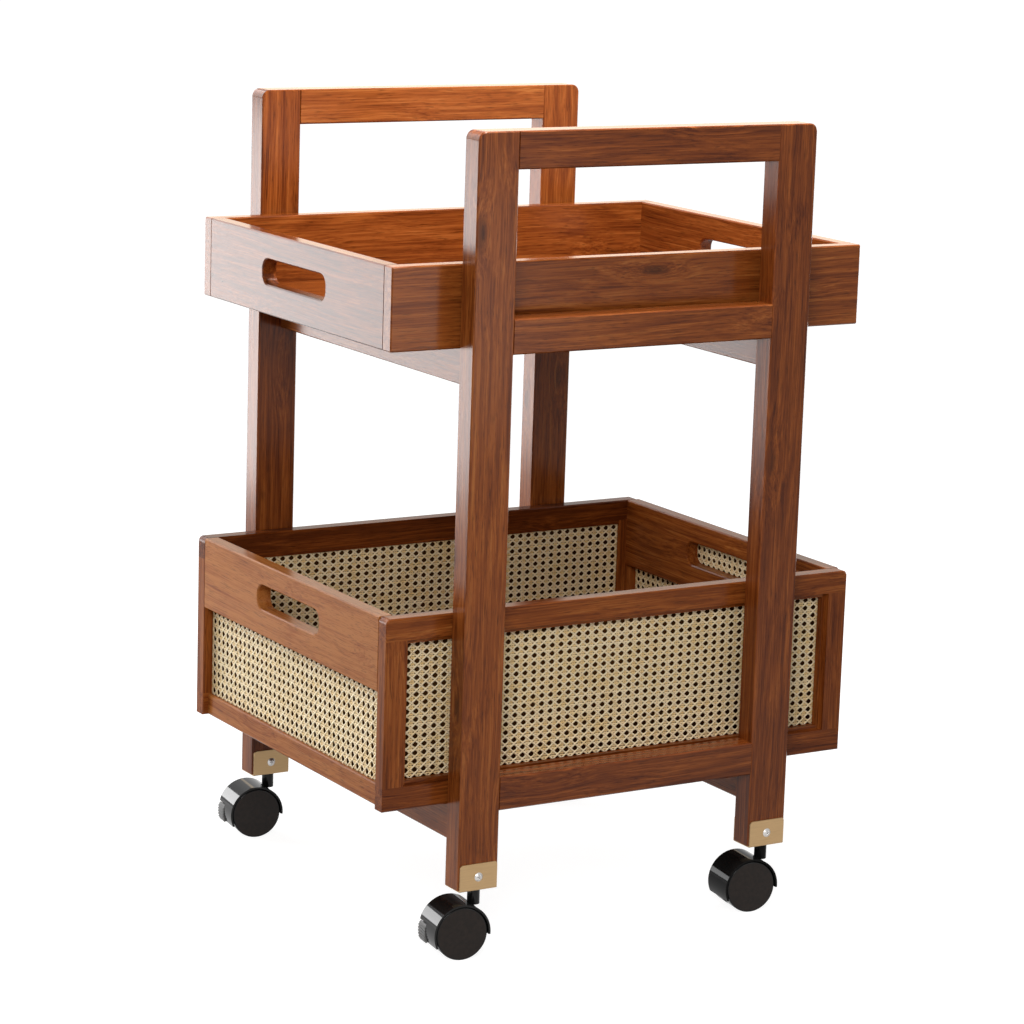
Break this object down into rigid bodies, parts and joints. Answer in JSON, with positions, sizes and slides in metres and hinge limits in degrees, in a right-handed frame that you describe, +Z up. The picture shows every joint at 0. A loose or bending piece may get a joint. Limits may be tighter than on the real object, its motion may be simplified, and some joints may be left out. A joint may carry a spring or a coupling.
{
  "type": "rolling storage cart",
  "caption": "Wooden rolling cart with a lift-out tray above a slide-out basket with woven cane sides, on swivelling twin-wheel casters.",
  "frame": {"origin": "on the floor, below the middle of the tray and basket", "axes": "+X along the tray towards the end whose basket board is closed by cane, +Y from the near side frame to the far one, +Z up"},
  "size_m": [0.508, 0.4595, 0.755],
  "materials": {
    "wood": "stained walnut-brown wood under a satin varnish",
    "panel": "stained plywood",
    "cane": "woven rattan cane, unvarnished",
    "bracket": "champagne-coloured lacquer, satin",
    "screw": "bright plated",
    "steel": "zinc plated",
    "stem": "black",
    "hood": "glossy black nylon",
    "wheel": "glossy brown-black nylon",
    "pedal": "grey, ribbed"
  },
  "bodies": {
    "frame": {"bracket_screws": "screw", "caster_stems": "stem", "far_left_post": "wood", "far_lower_rail": "wood", "far_mid_rail": "wood", "far_right_post": "wood", "far_top_rail": "wood", "foot_brackets": "bracket", "lower_left_cross_rail": "wood", "lower_right_cross_rail": "wood", "near_left_post": "wood", "near_lower_rail": "wood", "near_mid_rail": "wood", "near_right_post": "wood", "near_top_rail": "wood", "stem_nuts": "steel", "upper_left_cross_rail": "wood", "upper_right_cross_rail": "wood"},
    "tray": {"tray_bottom_panel": "panel", "tray_far_board": "wood", "tray_left_end": "wood", "tray_near_board": "wood", "tray_right_end": "wood"},
    "basket": {"basket_bottom_panel": "panel", "basket_far_bottom_rail": "wood", "basket_far_cane": "cane", "basket_far_left_stile": "wood", "basket_far_right_stile": "wood", "basket_far_top_rail": "wood", "basket_left_cane": "cane", "basket_left_end_board": "wood", "basket_left_end_rail": "wood", "basket_near_bottom_rail": "wood", "basket_near_cane": "cane", "basket_near_left_stile": "wood", "basket_near_right_stile": "wood", "basket_near_top_rail": "wood", "basket_right_cane": "cane", "basket_right_end_board": "wood", "basket_right_end_rail": "wood"},
    "near_left_caster": {"near_left_caster_housing": "hood", "near_left_caster_axle": "steel"},
    "near_left_caster_near_wheel": {"near_left_caster_near_wheel": "wheel"},
    "near_left_caster_far_wheel": {"near_left_caster_far_wheel": "wheel"},
    "near_left_caster_brake_pedal": {"near_left_caster_brake_pedal": "pedal"},
    "near_right_caster": {"near_right_caster_housing": "hood", "near_right_caster_axle": "steel"},
    "near_right_caster_near_wheel": {"near_right_caster_near_wheel": "wheel"},
    "near_right_caster_far_wheel": {"near_right_caster_far_wheel": "wheel"},
    "far_left_caster": {"far_left_caster_housing": "hood", "far_left_caster_axle": "steel"},
    "far_left_caster_near_wheel": {"far_left_caster_near_wheel": "wheel"},
    "far_left_caster_far_wheel": {"far_left_caster_far_wheel": "wheel"},
    "far_left_caster_brake_pedal": {"far_left_caster_brake_pedal": "pedal"},
    "far_right_caster": {"far_right_caster_housing": "hood", "far_right_caster_axle": "steel"},
    "far_right_caster_near_wheel": {"far_right_caster_near_wheel": "wheel"},
    "far_right_caster_far_wheel": {"far_right_caster_far_wheel": "wheel"}
  },
  "joints": [
    {"name": "tray_lift", "type": "slide", "parent": "frame", "child": "tray", "axis": [0, 0, 1], "range_m": [0, 0.3]},
    {"name": "basket_slide", "type": "slide", "parent": "frame", "child": "basket", "axis": [1, 0, 0], "range_m": [-0.25, 0.25]},
    {"name": "near_left_caster_swivel", "type": "hinge", "parent": "frame", "child": "near_left_caster", "pos_m": [-0.165, -0.208, 0.064], "axis": [0, 0, 1], "continuous": true},
    {"name": "near_left_caster_near_wheel_spin", "type": "hinge", "parent": "near_left_caster", "child": "near_left_caster_near_wheel", "pos_m": [-0.18247, -0.20586, 0.025], "axis": [-0.1219, -0.9925, 0], "continuous": true},
    {"name": "near_left_caster_far_wheel_spin", "type": "hinge", "parent": "near_left_caster", "child": "near_left_caster_far_wheel", "pos_m": [-0.18247, -0.20586, 0.025], "axis": [-0.1219, -0.9925, 0], "continuous": true},
    {"name": "near_left_caster_brake", "type": "hinge", "parent": "near_left_caster", "child": "near_left_caster_brake_pedal", "pos_m": [-0.20825, -0.20269, 0.02911], "axis": [-0.1219, -0.9925, 0], "range_deg": [0, 3]},
    {"name": "near_right_caster_swivel", "type": "hinge", "parent": "frame", "child": "near_right_caster", "pos_m": [0.155, -0.208, 0.064], "axis": [0, 0, 1], "continuous": true},
    {"name": "near_right_caster_near_wheel_spin", "type": "hinge", "parent": "near_right_caster", "child": "near_right_caster_near_wheel", "pos_m": [0.13753, -0.20586, 0.025], "axis": [-0.1219, -0.9925, 0], "continuous": true},
    {"name": "near_right_caster_far_wheel_spin", "type": "hinge", "parent": "near_right_caster", "child": "near_right_caster_far_wheel", "pos_m": [0.13753, -0.20586, 0.025], "axis": [-0.1219, -0.9925, 0], "continuous": true},
    {"name": "far_left_caster_swivel", "type": "hinge", "parent": "frame", "child": "far_left_caster", "pos_m": [-0.165, 0.208, 0.064], "axis": [0, 0, 1], "continuous": true},
    {"name": "far_left_caster_near_wheel_spin", "type": "hinge", "parent": "far_left_caster", "child": "far_left_caster_near_wheel", "pos_m": [-0.18247, 0.21014, 0.025], "axis": [-0.1219, -0.9925, 0], "continuous": true},
    {"name": "far_left_caster_far_wheel_spin", "type": "hinge", "parent": "far_left_caster", "child": "far_left_caster_far_wheel", "pos_m": [-0.18247, 0.21014, 0.025], "axis": [-0.1219, -0.9925, 0], "continuous": true},
    {"name": "far_left_caster_brake", "type": "hinge", "parent": "far_left_caster", "child": "far_left_caster_brake_pedal", "pos_m": [-0.20825, 0.21331, 0.02911], "axis": [-0.1219, -0.9925, 0], "range_deg": [0, 3]},
    {"name": "far_right_caster_swivel", "type": "hinge", "parent": "frame", "child": "far_right_caster", "pos_m": [0.155, 0.208, 0.064], "axis": [0, 0, 1], "continuous": true},
    {"name": "far_right_caster_near_wheel_spin", "type": "hinge", "parent": "far_right_caster", "child": "far_right_caster_near_wheel", "pos_m": [0.13753, 0.21014, 0.025], "axis": [-0.1219, -0.9925, 0], "continuous": true},
    {"name": "far_right_caster_far_wheel_spin", "type": "hinge", "parent": "far_right_caster", "child": "far_right_caster_far_wheel", "pos_m": [0.13753, 0.21014, 0.025], "axis": [-0.1219, -0.9925, 0], "continuous": true}
  ]
}
